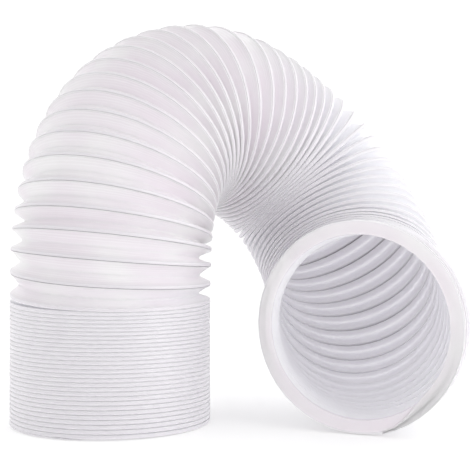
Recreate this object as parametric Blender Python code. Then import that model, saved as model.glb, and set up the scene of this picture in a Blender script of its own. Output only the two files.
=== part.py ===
"""Air conditioner exhaust hose: one strip of plastic, folded to a V and wound into a left-hand spiral.

The hose stands on its first turn, rises, arches back and over to the right, and comes forward to
lie on the floor with its mouth to the front. Its first turns are pushed together, the others are
drawn out. All lengths are in metres, with +Z up. The route starts at the middle of the foot, and
the finished hose is moved so that its origin is the middle of the box around it, on the floor.
"""

import math

import bpy
import numpy as np

# The strip and the tube that it makes.
CREST_DIAMETER = 0.150    # across the outside, over the crests
FLANK_WIDTH = 0.011       # one side of the V, from crest to groove
BEAD_WIDTH = 0.0008       # the blunt crest, where two hooked edges meet
BEAD_SHARE = 0.3          # most of a turn's height that the blunt crest takes
BEAD_DEPTH = 0.0008       # the plastic at the crest, from the outside inwards
WALL = 0.00025            # the plastic at the groove, where it is thinnest
GROOVE_DEPTH = 0.003      # most that the plastic at the groove measures from the outside inwards

# Where the hose goes, by its middle line.
FOOT_HEIGHT = 0.0907      # the pushed-together turns that it stands on
ARCH_HEIGHT = 0.2396      # the top of the arch above the floor
ARCH_BACK = 0.125         # how far behind the foot the arch reaches
MOUTH_RIGHT = 0.194       # how far to the right of the foot the other leg comes down
MOUTH_FRONT = 0.054       # how far in front of the foot's middle the mouth ends
RISE = ARCH_HEIGHT - FOOT_HEIGHT
DROP = ARCH_HEIGHT - CREST_DIAMETER / 2

# Each point as a share of MOUTH_RIGHT, of ARCH_BACK and of RISE above the foot.
RISING = (
    (0.000, 0.000, 0.000),
    (0.006, -0.010, 0.274),
    (0.022, 0.032, 0.491),
    (0.059, 0.134, 0.688),
    (0.123, 0.282, 0.850),
    (0.224, 0.446, 0.960),
    (0.352, 0.609, 1.000),
)
# Each point as a share of MOUTH_RIGHT, of ARCH_BACK and of DROP above the floor-lying end.
FALLING = (
    (0.480, 0.773, 0.967),
    (0.615, 0.923, 0.877),
    (0.740, 0.998, 0.754),
    (0.846, 0.990, 0.601),
    (0.926, 0.905, 0.436),
    (0.978, 0.762, 0.281),
    (0.999, 0.573, 0.144),
    (0.998, 0.340, 0.050),
    (0.991, 0.082, 0.010),
)
# Each point on the floor as a share of MOUTH_RIGHT and of MOUTH_FRONT.
LYING = (
    (0.973, 0.415),
    (0.921, 1.000),
)
FOOT_DIRECTION = (0.0, 0.0, 1.0)
MOUTH_DIRECTION = (-0.41, -0.91, 0.0)

# How far the strip climbs in one turn: first pushed together, then turns with their climb in each.
PACKED_PITCH = 0.0031
DRAWN_TURNS = (
    (1, 0.0167),
    (1, 0.0150),
    (1, 0.0128),
    (1, 0.0104),
    (8, 0.0115),
    (19, 0.0114),
    (9, 0.0116),
    (6, 0.0109),
    (1, 0.0100),
    (1, 0.0095),
    (1, 0.0080),
    (1.3, 0.0066),
)

# The strip's two ends, cut to a taper so that the hose stands square.
STRIP_START = math.radians(-98)   # where the strip starts at the foot, from +X towards +Y
END_HEIGHT = 0.001                # height of the V where the strip is cut
LEVEL_SHARE = 0.8                 # share of the first and last turn that lies square to the hose
ODD_TURN = 0.25                   # the strip ends this share of a turn past its start

# How finely the spiral is drawn.
STEPS_PER_TURN = 16
ROUTE_SAMPLES = 40        # points along each span of the middle line
WIDEST_FOLD = math.radians(72)    # the V's sides never lean further out than this
BEND_REACH = 0.001        # how far ahead and behind a bend is felt


def route_points():
    """The middle line's points from the foot to the mouth."""
    points = [np.zeros(3)]
    for right, back, up in RISING:
        points.append(np.array((right * MOUTH_RIGHT, back * ARCH_BACK, FOOT_HEIGHT + up * RISE)))
    for right, back, up in FALLING:
        height = CREST_DIAMETER / 2 + up * DROP
        points.append(np.array((right * MOUTH_RIGHT, back * ARCH_BACK, height)))
    for right, front in LYING:
        points.append(np.array((right * MOUTH_RIGHT, -front * MOUTH_FRONT, CREST_DIAMETER / 2)))
    return np.array(points)


def unit(vector):
    return vector / np.linalg.norm(vector)


def smooth_line(knots, first_direction, last_direction):
    """Points along the curve through all knots, bent as little as possible."""
    spans = np.linalg.norm(np.diff(knots, axis=0), axis=1)
    count = len(knots)
    matrix = np.zeros((count, count))
    right = np.zeros((count, 3))
    matrix[0, 0] = matrix[-1, -1] = 1.0
    right[0] = unit(np.array(first_direction))
    right[-1] = unit(np.array(last_direction))
    for k in range(1, count - 1):
        before, after = spans[k - 1], spans[k]
        matrix[k, k - 1] = after
        matrix[k, k] = 2.0 * (before + after)
        matrix[k, k + 1] = before
        slope_before = (knots[k] - knots[k - 1]) / before
        slope_after = (knots[k + 1] - knots[k]) / after
        right[k] = 3.0 * (after * slope_before + before * slope_after)
    slopes = np.linalg.solve(matrix, right)
    line = []
    for k in range(count - 1):
        for t in np.arange(ROUTE_SAMPLES) / ROUTE_SAMPLES:
            line.append(
                (1 + 2 * t) * (1 - t) ** 2 * knots[k]
                + t * (1 - t) ** 2 * spans[k] * slopes[k]
                + t * t * (3 - 2 * t) * knots[k + 1]
                + t * t * (t - 1) * spans[k] * slopes[k + 1]
            )
    line.append(knots[-1])
    return np.array(line)


class MiddleLine:
    """The route with its distances and, at each point, two directions square to it."""

    def __init__(self):
        self.points = smooth_line(route_points(), FOOT_DIRECTION, MOUTH_DIRECTION)
        steps = np.linalg.norm(np.diff(self.points, axis=0), axis=1)
        self.distances = np.concatenate([[0.0], np.cumsum(steps)])
        self.length = self.distances[-1]
        along = np.gradient(self.points, self.distances, axis=0, edge_order=2)
        along[0] = FOOT_DIRECTION
        along[-1] = MOUTH_DIRECTION
        self.along = along / np.linalg.norm(along, axis=1)[:, None]
        side = np.array([1.0, 0.0, 0.0])
        self.side = np.zeros_like(self.points)
        for k, direction in enumerate(self.along):
            side = unit(side - side.dot(direction) * direction)
            self.side[k] = side
        self.back = np.cross(self.along, self.side)

    def read(self, values, distance):
        return np.array([np.interp(distance, self.distances, values[:, axis]) for axis in range(3)])

    def place(self, distance, angle, radius):
        """The point at a distance along the line, at an angle round it and a radius from it."""
        centre = self.read(self.points, distance)
        side = unit(self.read(self.side, distance))
        back = unit(self.read(self.back, distance))
        return centre + radius * (math.cos(angle) * side + math.sin(angle) * back)

    def local_pitch(self, distance, angle, pitch):
        """The pitch at one side of the hose: a bend opens it outside and closes it inside."""
        ahead = self.place(distance + BEND_REACH, angle, CREST_DIAMETER / 2)
        behind = self.place(distance - BEND_REACH, angle, CREST_DIAMETER / 2)
        span = min(distance + BEND_REACH, self.length) - max(distance - BEND_REACH, 0.0)
        return pitch * np.linalg.norm(ahead - behind) / span


def crest_distances(length):
    """Distance of the crest along the middle line at each step of the spiral."""
    turns = [0.0, (FOOT_HEIGHT - END_HEIGHT) / PACKED_PITCH]
    climbs = [END_HEIGHT, FOOT_HEIGHT]
    drawn = sum(count * pitch for count, pitch in DRAWN_TURNS)
    stretch = (length - END_HEIGHT - FOOT_HEIGHT) / drawn
    for count, pitch in DRAWN_TURNS:
        turns.append(turns[-1] + count)
        climbs.append(climbs[-1] + count * pitch * stretch)
    whole_turns = round(turns[-1] - ODD_TURN)
    steps = round((whole_turns + ODD_TURN) * STEPS_PER_TURN)
    middle = np.interp(np.linspace(0, turns[-1], steps + 1), turns, climbs)
    level = round(LEVEL_SHARE * STEPS_PER_TURN)
    ramp = STEPS_PER_TURN - level
    end = [END_HEIGHT * max(0, k - level) / ramp for k in range(STEPS_PER_TURN)]
    return end + list(middle) + [length - height for height in reversed(end)]


def fold(pitch):
    """The blunt crest's width, the V's depth and its wall at the groove, for one turn's height."""
    bead = min(BEAD_WIDTH, BEAD_SHARE * pitch)
    lean = min(math.sin(WIDEST_FOLD), (pitch - bead) / 2 / FLANK_WIDTH)
    depth = FLANK_WIDTH * math.sqrt(1 - lean * lean)
    return bead, depth, min(WALL / lean, GROOVE_DEPTH)


def strip_corners(line, crests):
    """Corners of the strip's outer and inner skin, and their numbers along crest and groove."""
    turn = STEPS_PER_TURN
    last = len(crests) - 1
    radius = CREST_DIAMETER / 2
    corners = []
    rows = {"crest": [], "shoulder": [], "groove": [], "crest_inside": [], "groove_inside": []}

    def add(row, distance, angle, from_middle):
        rows[row].append(len(corners))
        corners.append(line.place(distance, angle, from_middle))

    for k, crest in enumerate(crests):
        angle = STRIP_START - 2 * math.pi * k / turn
        add("crest", crest, angle, radius)
        seam = crest
        if k <= last - turn:
            pitch = crests[k + turn] - crest
            local = line.local_pitch(crest + pitch / 2, angle, pitch)
            bead, depth, wall = fold(local)
            bead = bead * pitch / local
            add("shoulder", crest + bead, angle, radius)
            add("groove", crest + (bead + pitch) / 2, angle, radius - depth)
            add("groove_inside", crest + (bead + pitch) / 2, angle, radius - depth - wall)
            if k > turn:
                seam = crest + bead / 2
        add("crest_inside", seam, angle, radius - BEAD_DEPTH)
    return corners, rows


def strip_faces(rows):
    """Faces between the rows; both skins are cut along the same slant, so they keep apart."""
    turn = STEPS_PER_TURN
    crest, shoulder, groove = rows["crest"], rows["shoulder"], rows["groove"]
    crest_inside, groove_inside = rows["crest_inside"], rows["groove_inside"]
    count = len(groove)
    faces = []

    def band(upper, lower, inside=False):
        """The faces between two rows, turned over where they are seen from inside the hose."""
        for k in range(len(upper) - 1):
            first = (upper[k], upper[k + 1], lower[k + 1])
            second = (upper[k], lower[k + 1], lower[k])
            faces.extend((first[::-1], second[::-1]) if inside else (first, second))

    band(shoulder, crest[:count])
    band(groove, shoulder)
    band(groove, crest[turn:], inside=True)
    band(groove_inside, crest_inside[:count], inside=True)
    band(groove_inside, crest_inside[turn:])
    band(crest[:turn + 1], crest_inside[:turn + 1])
    band(crest_inside[count - 1:], crest[count - 1:])
    for k, order in ((0, -1), (count - 1, 1)):
        below = (crest_inside[k], crest[k], shoulder[k], groove[k], groove_inside[k])
        above = (groove[k], crest[k + turn], crest_inside[k + turn], groove_inside[k])
        for outline in (below, above):
            for corner in range(1, len(outline) - 1):
                triangle = (outline[0], outline[corner], outline[corner + 1])
                faces.append(triangle[::order])
    return faces


def white_plastic():
    material = bpy.data.materials.new("white_plastic")
    material.use_nodes = True
    shader = material.node_tree.nodes["Principled BSDF"]
    shader.inputs["Base Color"].default_value = (0.93, 0.92, 0.94, 1.0)
    shader.inputs["Roughness"].default_value = 0.35
    shader.inputs["Metallic"].default_value = 0.0
    return material


def build_hose():
    line = MiddleLine()
    corners, rows = strip_corners(line, crest_distances(line.length))
    corners = np.array(corners)
    lowest, highest = corners.min(axis=0), corners.max(axis=0)
    origin = (lowest + highest) / 2
    origin[2] = lowest[2]
    mesh = bpy.data.meshes.new("hose")
    mesh.from_pydata((corners - origin).tolist(), [], strip_faces(rows))
    mesh.materials.append(white_plastic())
    mesh.shade_smooth()
    mesh.set_sharp_from_angle(angle=math.radians(40))
    hose = bpy.data.objects.new("hose", mesh)
    bpy.context.scene.collection.objects.link(hose)
    return hose


for old in list(bpy.data.objects):
    bpy.data.objects.remove(old, do_unlink=True)
build_hose()
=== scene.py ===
import math

import bpy
import numpy as np
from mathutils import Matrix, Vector


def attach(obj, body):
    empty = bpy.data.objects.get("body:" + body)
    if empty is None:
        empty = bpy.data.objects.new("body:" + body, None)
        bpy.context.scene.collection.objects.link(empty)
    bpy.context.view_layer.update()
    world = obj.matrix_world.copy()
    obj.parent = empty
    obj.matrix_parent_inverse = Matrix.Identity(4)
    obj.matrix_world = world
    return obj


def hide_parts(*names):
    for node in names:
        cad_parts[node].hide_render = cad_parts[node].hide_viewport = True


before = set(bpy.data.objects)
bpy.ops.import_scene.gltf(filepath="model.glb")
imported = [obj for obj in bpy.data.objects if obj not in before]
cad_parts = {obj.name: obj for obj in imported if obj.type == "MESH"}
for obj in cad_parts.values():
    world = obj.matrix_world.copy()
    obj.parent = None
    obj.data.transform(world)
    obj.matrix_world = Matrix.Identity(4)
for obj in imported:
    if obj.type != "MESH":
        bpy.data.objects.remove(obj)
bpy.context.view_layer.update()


# Camera and backdrop.
# The hose is photographed on a white sweep of paper, from a little under half its own height, with
# a long lens. The paper runs out of sight behind and burns out to white, apart from soft shadows.
LENS = 71.71
SENSOR_WIDTH = 36
CAMERA_PLACE = (-0.00333, -0.76656, 0.13461)
CAMERA_TILT_UP = math.radians(0.41)
NEAREST_SEEN = 0.01
FARTHEST_SEEN = 100

bpy.ops.object.select_all(action="DESELECT")
bpy.ops.object.camera_add(location=CAMERA_PLACE, rotation=(math.pi / 2 + CAMERA_TILT_UP, 0, 0))
camera = bpy.context.object
camera.name = "camera"
camera.data.lens = LENS
camera.data.sensor_width = SENSOR_WIDTH
camera.data.clip_start = NEAREST_SEEN
camera.data.clip_end = FARTHEST_SEEN
bpy.context.scene.camera = camera

PAPER_WIDTH = 30.0
PAPER_DROP = 0.0005

bpy.ops.mesh.primitive_plane_add(size=PAPER_WIDTH, location=(0, 0, -PAPER_DROP))
paper = bpy.context.object
paper.name = "paper_floor"


class Socket:
    """A shader value that is reckoned with like a number."""

    def __init__(self, finish, socket):
        self.finish = finish
        self.socket = socket

    def reckon(self, operation, first, second):
        return self.finish.node("ShaderNodeMath", {"operation": operation}, (first, second))

    def __add__(self, other):
        return self.reckon("ADD", self, other)

    def __radd__(self, other):
        return self.reckon("ADD", other, self)

    def __sub__(self, other):
        return self.reckon("SUBTRACT", self, other)

    def __rsub__(self, other):
        return self.reckon("SUBTRACT", other, self)

    def __mul__(self, other):
        return self.reckon("MULTIPLY", self, other)

    def __rmul__(self, other):
        return self.reckon("MULTIPLY", other, self)


class Finish:
    """The nodes of a material, or of the surroundings, and the one way to add to them."""

    def __init__(self, material, shader_name="Principled BSDF"):
        material.use_nodes = True
        self.material = material
        self.tree = material.node_tree
        self.shader = self.tree.nodes[shader_name]

    def feed(self, socket, value):
        if isinstance(value, Socket):
            self.tree.links.new(value.socket, socket)
        else:
            socket.default_value = value

    def node(self, kind, settings, values=(), output=0):
        """Adds a node. Settings are set first, then the values or links of its sockets."""
        node = self.tree.nodes.new(kind)
        for name, value in settings.items():
            setattr(node, name, value)
        pairs = values.items() if isinstance(values, dict) else enumerate(values)
        for key, value in pairs:
            self.feed(node.inputs[key], value)
        return Socket(self, node.outputs[output])

    def axis(self, vector, number):
        """One of a vector's three numbers."""
        return self.node("ShaderNodeSeparateXYZ", {}, (vector,), output=number)

    def mix(self, share, first, second):
        """A colour between two colours."""
        settings = {"data_type": "RGBA"}
        return self.node("ShaderNodeMix", settings, {0: share, 6: first, 7: second}, output=2)

    def set(self, name, value):
        self.feed(self.shader.inputs[name], value)


white_paper = Finish(bpy.data.materials.new("white_paper"))
white_paper.set("Base Color", (0.76, 0.76, 0.76, 1.0))
white_paper.set("Roughness", 0.9)
white_paper.set("Specular IOR Level", 0.1)
white_paper.set("Emission Color", (1.0, 1.0, 1.0, 1.0))
white_paper.set("Emission Strength", 0.33)
white_paper.material.cycles.emission_sampling = "NONE"
paper.data.materials.append(white_paper.material)


# Light.
# White walls all round fill the shadows, brightest behind the hose and at its sides. One big soft
# box stands to the right of the camera, and a smaller, weaker one to the left fills that side.
SOFT_BOXES = (
    ("soft_box_right", (1.5, -0.9, 0.5), 1.4, 11.0),
    ("soft_box_left", (-0.7, -1.1, 0.55), 0.7, 1.0),
)
LIT_SPOT = (0, 0, 0.12)

for name, stand, width, power in SOFT_BOXES:
    bpy.ops.object.light_add(type="AREA", location=stand)
    soft_box = bpy.context.object
    soft_box.name = name
    soft_box.data.shape = "SQUARE"
    soft_box.data.size = width
    soft_box.data.energy = power
    aim = Vector(LIT_SPOT) - Vector(stand)
    soft_box.rotation_euler = aim.to_track_quat("-Z", "Y").to_euler()

# How bright the walls are, how much more so towards the ceiling, the back, both sides and the right,
# and how bright they look where the camera sees past the paper's edge.
WALL_GLARE = 0.81
CEILING_GLARE = 0.16
BACK_GLARE = 0.42
BOTH_SIDES_GLARE = 0.26
RIGHT_SIDE_GLARE = 0.05
BACKDROP_GLARE = 1.1

walls = Finish(bpy.data.worlds.new("white_walls"), "Background")
towards = walls.node("ShaderNodeTexCoord", {})
to_right = walls.axis(towards, 0)
to_back = walls.axis(towards, 1)
to_top = walls.axis(towards, 2)
glare = WALL_GLARE + CEILING_GLARE * to_top + BACK_GLARE * to_back
glare = glare + BOTH_SIDES_GLARE * to_right * to_right + RIGHT_SIDE_GLARE * to_right
seen = walls.node("ShaderNodeLightPath", {})
walls.set("Strength", glare * (1 - seen) + BACKDROP_GLARE * seen)
walls.set("Color", (1.0, 1.0, 1.0, 1.0))
bpy.context.scene.world = walls.material
bpy.context.scene.view_settings.view_transform = "Standard"
bpy.context.scene.view_settings.look = "None"


# The hose.
# It is one long strip of translucent white polypropylene, folded to a V and wound into a left-hand
# spiral. Each turn's lower edge is a thick bead that clips over the thin upper edge of the turn
# below it. Its foot is pushed together, the rest is drawn out and bent over to lie on the floor.
CREST_RADIUS = 0.075
FLANK_WIDTH = 0.011
WALL = 0.00038
FOOT_MIDDLE = (-0.09695, -0.05742, 0.0)
ROUTE = (
    (0.0000, 0.0000, 0.0000),
    (0.0000, 0.0000, 0.0907),
    (0.0012, -0.0013, 0.1315),
    (0.0043, 0.0040, 0.1638),
    (0.0114, 0.0168, 0.1931),
    (0.0239, 0.0352, 0.2172),
    (0.0435, 0.0558, 0.2335),
    (0.0683, 0.0761, 0.2396),
    (0.0931, 0.0966, 0.2342),
    (0.1193, 0.1154, 0.2194),
    (0.1436, 0.1247, 0.1991),
    (0.1641, 0.1237, 0.1739),
    (0.1796, 0.1131, 0.1468),
    (0.1897, 0.0953, 0.1213),
    (0.1938, 0.0716, 0.0987),
    (0.1936, 0.0425, 0.0832),
    (0.1923, 0.0103, 0.0766),
    (0.1888, -0.0224, 0.0750),
    (0.1787, -0.0540, 0.0750),
)
FOOT_DIRECTION = (0.0, 0.0, 1.0)
MOUTH_DIRECTION = (-0.411, -0.912, 0.0)
SAMPLES_PER_SPAN = 60

# How far the strip climbs in one turn: first pushed together, then as (turns, climb in each).
FOOT_HEIGHT = 0.0907
PACKED_PITCH = 0.0031
DRAWN_TURNS = (
    (1, 0.0167),
    (1, 0.0150),
    (1, 0.0128),
    (1, 0.0104),
    (8, 0.0115),
    (19, 0.0114),
    (9, 0.0116),
    (6, 0.0109),
    (1, 0.0100),
    (1, 0.0095),
    (1, 0.0080),
    (1.3, 0.0066),
)

# The strip begins at the front of the foot and ends at the lower right of the mouth.
STRIP_START = math.radians(-98)
STEPS_PER_TURN = 48
TURNS = 80 + 7 / 24
END_HEIGHT = 0.001
RAMP_SHARE = 0.2


def unit(vectors):
    return vectors / np.linalg.norm(vectors, axis=-1, keepdims=True)


def smooth_line(knots, first_direction, last_direction):
    """Points along the curve through all knots, bent as little as possible."""
    knots = np.array(knots)
    spans = np.linalg.norm(np.diff(knots, axis=0), axis=1)
    count = len(knots)
    matrix = np.zeros((count, count))
    right = np.zeros((count, 3))
    matrix[0, 0] = 1.0
    matrix[-1, -1] = 1.0
    right[0] = unit(np.array(first_direction))
    right[-1] = unit(np.array(last_direction))
    for k in range(1, count - 1):
        before = spans[k - 1]
        after = spans[k]
        matrix[k, k - 1 : k + 2] = after, 2.0 * (before + after), before
        slope_before = (knots[k] - knots[k - 1]) / before
        slope_after = (knots[k + 1] - knots[k]) / after
        right[k] = 3.0 * (after * slope_before + before * slope_after)
    slopes = np.linalg.solve(matrix, right)
    line = []
    for k in range(count - 1):
        for t in np.arange(SAMPLES_PER_SPAN) / SAMPLES_PER_SPAN:
            line.append(
                (1 + 2 * t) * (1 - t) ** 2 * knots[k]
                + t * (1 - t) ** 2 * spans[k] * slopes[k]
                + t * t * (3 - 2 * t) * knots[k + 1]
                + t * t * (t - 1) * spans[k] * slopes[k + 1]
            )
    line.append(knots[-1])
    return np.array(line)


middle_line = smooth_line(ROUTE, FOOT_DIRECTION, MOUTH_DIRECTION)
sample_gaps = np.linalg.norm(np.diff(middle_line, axis=0), axis=1)
distances = np.concatenate([[0.0], np.cumsum(sample_gaps)])
length = distances[-1]
along = unit(np.gradient(middle_line, distances, axis=0, edge_order=2))
along[0] = FOOT_DIRECTION
along[-1] = unit(np.array(MOUTH_DIRECTION))

# Two directions square to the line are carried along it without a twist.
side = np.zeros_like(middle_line)
carried = np.array([1.0, 0.0, 0.0])
for k in range(len(middle_line)):
    carried = unit(carried - carried.dot(along[k]) * along[k])
    side[k] = carried
back = np.cross(along, side)


def read(values, distance):
    return np.stack([np.interp(distance, distances, values[:, axis]) for axis in range(3)], axis=-1)


def place(distance, angle, radius):
    """Points at a distance along the hose, at an angle round it and a radius from its middle."""
    out = np.cos(angle)[..., None] * unit(read(side, distance))
    out = out + np.sin(angle)[..., None] * unit(read(back, distance))
    return read(middle_line, distance) + radius[..., None] * out


# The crest's distance along the hose at each step of the spiral. The first and the last turn lie
# square to the hose, so that it stands level, and the strip tapers off there.
knot_turns = [0.0, (FOOT_HEIGHT - END_HEIGHT) / PACKED_PITCH]
knot_climbs = [END_HEIGHT, FOOT_HEIGHT]
stretch = (length - END_HEIGHT - FOOT_HEIGHT) / sum(count * climb for count, climb in DRAWN_TURNS)
for count, climb in DRAWN_TURNS:
    knot_turns.append(knot_turns[-1] + count)
    knot_climbs.append(knot_climbs[-1] + count * climb * stretch)
middle_steps = round((TURNS - 1) * STEPS_PER_TURN)
middle_turns = np.linspace(0, knot_turns[-1], middle_steps + 1)
middle_crest = np.interp(middle_turns, knot_turns, knot_climbs)
ramp_steps = round(RAMP_SHARE * STEPS_PER_TURN)
ramp = np.maximum(0, np.arange(STEPS_PER_TURN) - (STEPS_PER_TURN - ramp_steps)) / ramp_steps
crest = np.concatenate([END_HEIGHT * ramp, middle_crest, length - END_HEIGHT * ramp[::-1]])
low = crest[:-STEPS_PER_TURN]
high = crest[STEPS_PER_TURN:]
stations = len(low)
steps = np.arange(stations)
angle = STRIP_START - 2 * math.pi * steps / STEPS_PER_TURN

# A bend opens the turns on its outside and closes them on its inside.
BEND_REACH = 0.001
middle_distance = (low + high) / 2
reach_ahead = np.minimum(middle_distance + BEND_REACH, length)
reach_behind = np.maximum(middle_distance - BEND_REACH, 0)
crest_radii = np.full(stations, CREST_RADIUS)
ahead = place(reach_ahead, angle, crest_radii)
behind = place(reach_behind, angle, crest_radii)
bend = np.linalg.norm(ahead - behind, axis=1)
pitch = (high - low) * bend / (reach_ahead - reach_behind)
half = pitch / 2


def fade(values, first, last):
    """0 up to the first value, 1 from the last one on, and even between them."""
    return np.clip((values - first) / (last - first), 0, 1)


# A flank keeps its width, so a turn that is drawn out is shallow and one that is pushed together is
# deep. At both of its ends the strip is cut to a point, and towards the mouth it gets narrower.
WIDEST_FOLD = math.radians(72)
POINT_SHARE = 0.08
POINT_WIDTH = 0.15
MOUTH_NARROWING = 0.09
NARROWING_TURNS = (6, 2)

turns_left = (stations - steps) / STEPS_PER_TURN
steps_to_end = np.minimum(steps, steps[::-1])
point = np.clip(steps_to_end / (POINT_SHARE * STEPS_PER_TURN), POINT_WIDTH, 1)
narrowing = 1 - MOUTH_NARROWING * fade(turns_left, *NARROWING_TURNS)
lean = np.minimum(half / FLANK_WIDTH, math.sin(WIDEST_FOLD))
depth = FLANK_WIDTH * point * np.sqrt(1 - lean**2) * narrowing

# The sizes of the seam and the groove. Each is at its full size where there is room, and otherwise
# a share of the room: of the whole climb, or of the half climb that one flank has.
BEAD_HEIGHT = 0.0026
BEAD_THICK = 0.0010
BEAD_SHARE = 0.75
CREVICE_WIDTH = 0.00035
CREVICE_SHARE = 0.04
LIP_HEIGHT = 0.0005
LIP_SHARE = 0.11
SEAM_CLEARANCE = 0.00002
WALL_SHARE = 0.28
HOOK_SHARE = 0.45
GROOVE_RADIUS = 0.0014
GROOVE_SHARE = 0.2
GROOVE_ROOM_SHARE = 0.7
LEAST_GROOVE = 0.00005

gap = np.minimum(CREVICE_SHARE * pitch, CREVICE_WIDTH)
lip = np.minimum(LIP_SHARE * pitch, LIP_HEIGHT)
lip_foot = pitch - gap - lip
bead = np.minimum(lip_foot - SEAM_CLEARANCE, BEAD_HEIGHT)
bead_thick = np.minimum(BEAD_THICK, half) * point
bead_foot = np.minimum(bead, BEAD_SHARE * half)
wall = np.minimum(WALL, WALL_SHARE * half)
hook = HOOK_SHARE * np.maximum(bead_foot - wall, 0.0)
round_radius = np.minimum(GROOVE_RADIUS, GROOVE_SHARE * pitch)
round_radius = np.minimum(round_radius, GROOVE_ROOM_SHARE * (half - bead_foot))
round_radius = np.maximum(round_radius, LEAST_GROOVE)

# A bead with no room for its slanted foot has a squarer shoulder. Each is (height, depth), as
# shares of the bead's height and thickness.
FREE_SHOULDER = (0.92, 0.40)
CROWDED_SHOULDER = (0.99, 0.20)
crowded = bead > bead_foot
shoulder = np.where(crowded, CROWDED_SHOULDER[0], FREE_SHOULDER[0]) * bead
shoulder_depth = np.where(crowded, CROWDED_SHOULDER[1], FREE_SHOULDER[1]) * bead_thick


NEAREST_TANGENT = 0.99


def flank_slope(from_height, sense):
    """The slope of a flank that starts under the crest and just touches the round groove."""
    across = half - from_height
    down = -(depth - round_radius) + bead_thick
    span = np.hypot(across, down)
    turn = np.arcsin(np.minimum(round_radius / span, NEAREST_TANGENT))
    return np.arctan2(down, across * sense) - turn


# The round groove runs from the lower flank over the bottom to the upper flank.
arc_from = flank_slope(bead_foot, 1) - math.pi / 2
arc_to = -math.pi - (flank_slope(lip_foot, -1) - math.pi / 2)


def groove(share):
    arc = arc_from + (arc_to - arc_from) * share
    return half + round_radius * np.cos(arc), -(depth - round_radius) + round_radius * np.sin(arc)


# Inside, each turn is a broad low ridge, and only a narrow slit leads up under the crest.
RIDGE_SHARE = 0.46
RIDGE_ROUND = 0.0010
RIDGE_ROUND_SHARE = 0.3


def ridge(turn):
    height = half + RIDGE_SHARE * pitch * math.cos(turn)
    rounding = np.minimum(RIDGE_ROUND, RIDGE_ROUND_SHARE * depth)
    return height, -(depth + wall) + rounding * (1 - math.sin(turn))


# At the mouth the last turn's free edge is a flat rim, with no lip that hooks in.
RIM_WIDTH = 0.0045
RIM_SHARE = 0.55
RIM_DROP = 0.0004
RIM_TURNS = (13 / 12, 11 / 12)
LIP_DEPTH = 1.30

on_rim = fade(turns_left, *RIM_TURNS)
under_lip = -LIP_DEPTH * bead_thick
rim_height = (1 - on_rim) * (lip_foot + wall) + on_rim * (pitch - RIM_DROP)
rim_depth = (1 - on_rim) * (under_lip - wall) - on_rim * np.minimum(RIM_WIDTH, RIM_SHARE * depth)
lip_reach = (1 - on_rim) * hook

# The corners of the section, as heights above the lower crest and depths under the crest: the bead
# from its lower edge over its face to its foot, the groove, the lip, and then back inside.
crest_height = np.zeros(stations)
crest_depth = np.zeros(stations)
section = [
    (crest_height, -1.00 * bead_thick),
    (crest_height, -0.25 * bead_thick),
    (0.05 * bead, -0.05 * bead_thick),
    (0.20 * bead, crest_depth),
    (0.60 * bead, -0.08 * bead_thick),
    (shoulder, -shoulder_depth),
    (bead_foot, -bead_thick),
]
section += [groove(share) for share in (0.0, 0.25, 0.5, 0.75, 1.0)]
section += [
    (lip_foot, -bead_thick),
    (lip_foot + 0.3 * lip, -0.30 * bead_thick),
    (pitch - gap, -0.20 * bead_thick),
    (pitch - gap, under_lip),
    (pitch + lip_reach, under_lip),
    (pitch + lip_reach, under_lip - wall),
    (rim_height, rim_depth),
]
section += [ridge(math.radians(turn)) for turn in (20, 50, 90, 130, 160)]
section += [(bead_foot - wall, -bead_thick - 0.5 * wall)]
heights = np.stack([height for height, _ in section], axis=1)
depths = np.stack([under for _, under in section], axis=1)
corners = len(section)

# The strip's first end is pressed thin under the turn above it, and its last one curls out.
PRESSED_SHARE = 0.06
THINNEST = 0.3
CURL = 0.0007
pressed = np.clip(steps / (PRESSED_SHARE * STEPS_PER_TURN), THINNEST, 1)
heights = heights * pressed[:, None]
curled = np.clip(1 - (stations - 1 - steps) / (POINT_SHARE * STEPS_PER_TURN), 0, 1) ** 2
depths = depths + CURL * curled[:, None]

# A ring with the section's corners is wound along a straight spiral. Then its corners are moved to
# their places round the bent line.
RING_RADIUS = 0.01
bpy.ops.object.select_all(action="DESELECT")
bpy.ops.mesh.primitive_circle_add(
    vertices=corners,
    radius=RING_RADIUS,
    fill_type="NOTHING",
    location=(CREST_RADIUS, 0, 0),
    rotation=(math.pi / 2, 0, 0),
)
hose = bpy.context.object
hose.name = "hose_strip"
bpy.ops.object.transform_apply(location=True, rotation=True, scale=True)
winding = hose.modifiers.new("winding", "SCREW")
winding.axis = "Z"
winding.angle = -2 * math.pi * TURNS
winding.screw_offset = length
winding.steps = stations - 1
winding.render_steps = stations - 1
bpy.ops.object.modifier_apply(modifier="winding")

share = heights / pitch[:, None]
strip_distance = low[:, None] + share * (high - low)[:, None]
strip_angle = np.repeat(angle[:, None], corners, axis=1)
shape = place(strip_distance, strip_angle, CREST_RADIUS + depths)
past_end = np.clip(strip_distance - length, 0, None)[..., None] * along[-1]
shape = shape + past_end + np.array(FOOT_MIDDLE)
hose.data.vertices.foreach_set("co", shape.reshape(-1))
hose.data.update()

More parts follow.
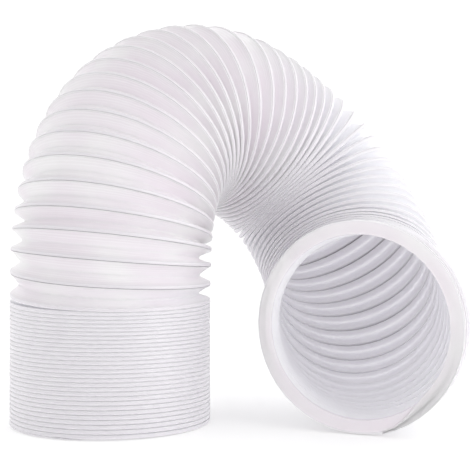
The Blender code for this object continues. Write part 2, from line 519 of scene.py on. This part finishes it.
# Along the strip the map counts turns, and across it runs from the bead over the outside to the
# lip and back inside. Two attributes say how far each turn is pushed together, and how deep each
# corner lies under the crest.
OPEN_PITCH = 0.016
loop_corners = np.zeros(len(hose.data.loops), dtype=int)
hose.data.loops.foreach_get("vertex_index", loop_corners)
turn_numbers = (loop_corners // corners / STEPS_PER_TURN).reshape(-1, 4)
across = (loop_corners % corners).reshape(-1, 4).astype(float)
wraps = (across.max(axis=1) - across.min(axis=1) > corners / 2)[:, None]
across = np.where(wraps & (across == 0), corners, across) / corners
closed = np.clip(1 - pitch / OPEN_PITCH, 0, 1)
closed_attribute = hose.data.attributes.new("closed", "FLOAT", "POINT")
closed_attribute.data.foreach_set("value", np.repeat(closed, corners))
under_attribute = hose.data.attributes.new("under_crest", "FLOAT", "POINT")
under_attribute.data.foreach_set("value", -depths.reshape(-1))
strip_map = hose.data.uv_layers.new(name="strip")
strip_map.data.foreach_set("uv", np.stack([turn_numbers, across], axis=-1).reshape(-1))

# The strip's two ends are closed, and its edges stay crisp while its rounds are shaded smooth.
SHARP_EDGE = math.radians(50)
bpy.ops.object.mode_set(mode="EDIT")
bpy.ops.mesh.select_mode(type="EDGE")
bpy.ops.mesh.select_all(action="DESELECT")
bpy.ops.mesh.select_non_manifold()
bpy.ops.mesh.fill_holes(sides=0)
bpy.ops.mesh.select_all(action="SELECT")
bpy.ops.mesh.normals_make_consistent(inside=False)
bpy.ops.object.mode_set(mode="OBJECT")
bpy.ops.object.shade_smooth_by_angle(angle=SHARP_EDGE)

# Places across the strip, counted in corners of its section from the bead's lower edge.
BEAD_FACE = (0.5, 6.0)
OUTER_FOLD = (6.0, 12.8)
LIP_EDGE = (12.8, 14.2)
CREVICE = (14.2, 16.6)
UPPER_SLIT = (16.6, 18.4)
INNER_RIDGE = (18.4, 23.6)
LOWER_SLIT = (23.6, 25.4)
SOFT_EDGE = 0.4

plastic = Finish(bpy.data.materials.new("white_polypropylene"))
strip_place = plastic.node("ShaderNodeUVMap", {"uv_map": "strip"})
turn_number = plastic.axis(strip_place, 0)
across_strip = plastic.axis(strip_place, 1) * corners


def step_up(corner):
    """0 before a corner of the section and 1 after it, with a soft edge."""
    limits = {0: across_strip, 1: corner - SOFT_EDGE, 2: corner + SOFT_EDGE}
    return plastic.node("ShaderNodeMapRange", {}, limits)


def band(first, last):
    """1 between two corners of the section and 0 elsewhere, with soft edges."""
    return step_up(first) - step_up(last)


def between(value, first, last):
    """0 below the first value, 1 above the last, and smooth between them."""
    limits = {0: value, 1: first, 2: last}
    return plastic.node("ShaderNodeMapRange", {"interpolation_type": "SMOOTHSTEP"}, limits)


bead_face = band(*BEAD_FACE)
outer_fold = band(*OUTER_FOLD)
lip_edge = band(*LIP_EDGE)
crevice = band(*CREVICE)
upper_slit = band(*UPPER_SLIT)
inner_ridge = band(*INNER_RIDGE)
lower_slit = band(*LOWER_SLIT)

# Fine lines run along the folds near each crest, and faint drawing marks along the whole strip. The
# closer the turns are pushed together, the less of both shows.
LINE_SPACING = 0.0011
LINE_HEIGHT = 0.35
LINES_END = (0.0030, 0.0055)
MARKS_PER_METRE = 1800
MARKS_PER_TURN = 2.5
MARK_HEIGHT = 0.9
under_crest = plastic.node("ShaderNodeAttribute", {"attribute_name": "under_crest"}, output=2)
together = plastic.node("ShaderNodeAttribute", {"attribute_name": "closed"}, output=2)
near_crest = 1 - between(under_crest, *LINES_END)
line_angle = under_crest * (2 * math.pi / LINE_SPACING)
fold_lines = plastic.node("ShaderNodeMath", {"operation": "SINE"}, (line_angle,))
mark_axes = (under_crest * MARKS_PER_METRE, turn_number * MARKS_PER_TURN, 0.0)
mark_place = plastic.node("ShaderNodeCombineXYZ", {}, mark_axes)
mark_noise = {"Vector": mark_place, "Scale": 1.0, "Detail": 2.0}
marks = plastic.node("ShaderNodeTexNoise", {}, mark_noise)
relief = (1 - together) * (LINE_HEIGHT * near_crest * fold_lines + MARK_HEIGHT * marks)

# The plastic is milky and slightly uneven: a cool white where turns lie close, a warmer white on the
# drawn-out leg and at the mouth, with pinkish and whiter clouds a few centimetres wide. The warmer
# white is also a little darker, as painted shade.
FOOT_ENDS = (29.4, 30.2)
ARCH_COOLS = (44, 58)
MOUTH_BEGINS = (78.6, 79.4)
RING_BEGINS = (79.0, 79.25)
CLOUDS_PER_METRE = 22.0
PINK_CLOUDS = (0.42, 0.68)
PINK_SHARE = 0.5
WHITE_CLOUDS = (0.30, 0.52)
WHITE_SHARE = 0.7
RELIEF_HIGHLIGHT_RANGE = (0.35, 0.75)
RELIEF_HIGHLIGHT_SHARE = 0.22
COOL_WHITE = (0.872, 0.87, 0.90, 1.0)
WARM_SHADED_WHITE = (0.845, 0.812, 0.842, 1.0)
PINKISH_WHITE = (0.825, 0.77, 0.815, 1.0)
CLEAR_WHITE = (0.875, 0.87, 0.87, 1.0)
# A white for painted highlights, on the lip edge and on the raised relief.
HIGHLIGHT_WHITE = (0.99, 0.98, 1.0, 1.0)
object_place = plastic.node("ShaderNodeTexCoord", {}, output=3)
cloud_noise = {"Vector": object_place, "Scale": CLOUDS_PER_METRE, "Detail": 1.0}
clouds = plastic.node("ShaderNodeTexNoise", {}, cloud_noise)
warm = between(turn_number, *FOOT_ENDS) - between(turn_number, *ARCH_COOLS)
warm = warm + between(turn_number, *MOUTH_BEGINS)
on_ring = between(turn_number, *RING_BEGINS)
colour = plastic.mix(warm, COOL_WHITE, WARM_SHADED_WHITE)
pink = PINK_SHARE * warm * between(clouds, *PINK_CLOUDS)
colour = plastic.mix(pink, colour, PINKISH_WHITE)
clear = WHITE_SHARE * warm * (1 - between(clouds, *WHITE_CLOUDS))
colour = plastic.mix(clear, colour, CLEAR_WHITE)
# Raised relief is painted whiter: along the fold lines near each crest a painted highlight, along
# the faint drawing marks a lighter tone of their own.
colour = plastic.mix(RELIEF_HIGHLIGHT_SHARE * between(relief, *RELIEF_HIGHLIGHT_RANGE), colour, HIGHLIGHT_WHITE)

# The thick bead is painted greyer, a painted shade for the light it lets through less, the thin lip
# is painted bright white, a painted highlight, and the crevice and slits are painted dark, a painted
# shade, lighter in the crevice where turns lie close. On the last turn at the mouth most of the
# painted crevice shade and all the painted slit shade are left out.
BEAD_SHADE_SHARE = 0.75
RING_SHADE_CUT = 0.8
BEAD_PAINTED_SHADE = (0.74, 0.715, 0.75, 1.0)
OPEN_CREVICE_SHADE = (0.60, 0.56, 0.61, 1.0)
CLOSED_CREVICE_SHADE = (0.86, 0.855, 0.90, 1.0)
SLIT_PAINTED_SHADE = (0.56, 0.53, 0.56, 1.0)
colour = plastic.mix(BEAD_SHADE_SHARE * bead_face, colour, BEAD_PAINTED_SHADE)
colour = plastic.mix(lip_edge, colour, HIGHLIGHT_WHITE)
# Painted shade in the crevice, lighter where the turns lie close, and mostly left out on the mouth's
# ring.
crevice_shade = plastic.mix(together, OPEN_CREVICE_SHADE, CLOSED_CREVICE_SHADE)
colour = plastic.mix(crevice * (1 - RING_SHADE_CUT * on_ring), colour, crevice_shade)
# Painted shade in the inner slits under the crests, left out on the mouth's ring.
colour = plastic.mix((upper_slit + lower_slit) * (1 - on_ring), colour, SLIT_PAINTED_SHADE)
plastic.set("Base Color", colour)
plastic.set("Roughness", 0.29 + 0.14 * clouds)
plastic.set("IOR", 1.49)
plastic.set("Subsurface Weight", 1.0)
plastic.set("Subsurface Radius", (1.0, 0.98, 1.0))
plastic.set("Subsurface Scale", 0.0012)
bump_settings = {"Height": relief, "Distance": 0.00008, "Strength": 0.6}
plastic.set("Normal", plastic.node("ShaderNodeBump", {}, bump_settings))

# Light that comes through the thin wall lifts the inside of the hose and the folds of the turns
# that lie close together. The plastic glows faintly there instead.
RIDGE_GLOW = 0.475
RING_DIMNESS = 0.7
WARM_DIMNESS = 0.8
RING_GLOW = 0.2
FOLD_GLOW = 0.45
SEAM_GLOW = 1.05
NO_GLOW = (0.0, 0.0, 0.0, 1.0)
GLOW_COLOUR = (1.0, 0.97, 1.0, 1.0)
glow = RIDGE_GLOW * (1 - RING_DIMNESS * on_ring) * inner_ridge + RING_GLOW * on_ring * upper_slit
closed_glow = FOLD_GLOW * outer_fold + SEAM_GLOW * (lip_edge + crevice)
glow = glow + (1 - WARM_DIMNESS * warm) * together * closed_glow
plastic.set("Emission Color", plastic.mix(glow, NO_GLOW, GLOW_COLOUR))
plastic.set("Emission Strength", 0.24)
plastic.material.cycles.emission_sampling = "NONE"
hose.data.materials.append(plastic.material)
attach(hose, "root")
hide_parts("hose")
